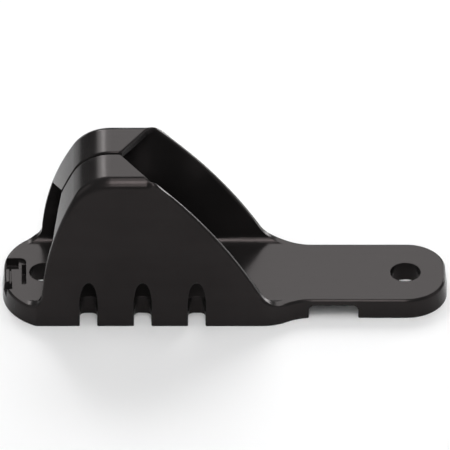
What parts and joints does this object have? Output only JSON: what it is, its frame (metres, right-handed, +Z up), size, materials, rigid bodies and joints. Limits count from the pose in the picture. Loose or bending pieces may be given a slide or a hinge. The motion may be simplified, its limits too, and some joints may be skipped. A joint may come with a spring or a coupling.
{
  "type": "hooded clam cleat",
  "caption": "One-piece moulded deck cleat with an open rope hood, a split notched roof, arched slots in one wall, and a screw tab at each end.",
  "frame": {"origin": "midway between the two screw holes, on the flat underside", "axes": "+X along the rope and the plate, from the rounded nose under the hood towards the long tab; +Z up from the deck, out of the underside through the hood; +Y across, away from the wall with the arched slots"},
  "size_m": [0.0763, 0.0216, 0.0291],
  "materials": {
    "cleat_body": "black moulded plastic, satin to glossy"
  },
  "bodies": {
    "root": {"cleat_body": "cleat_body"}
  },
  "joints": []
}
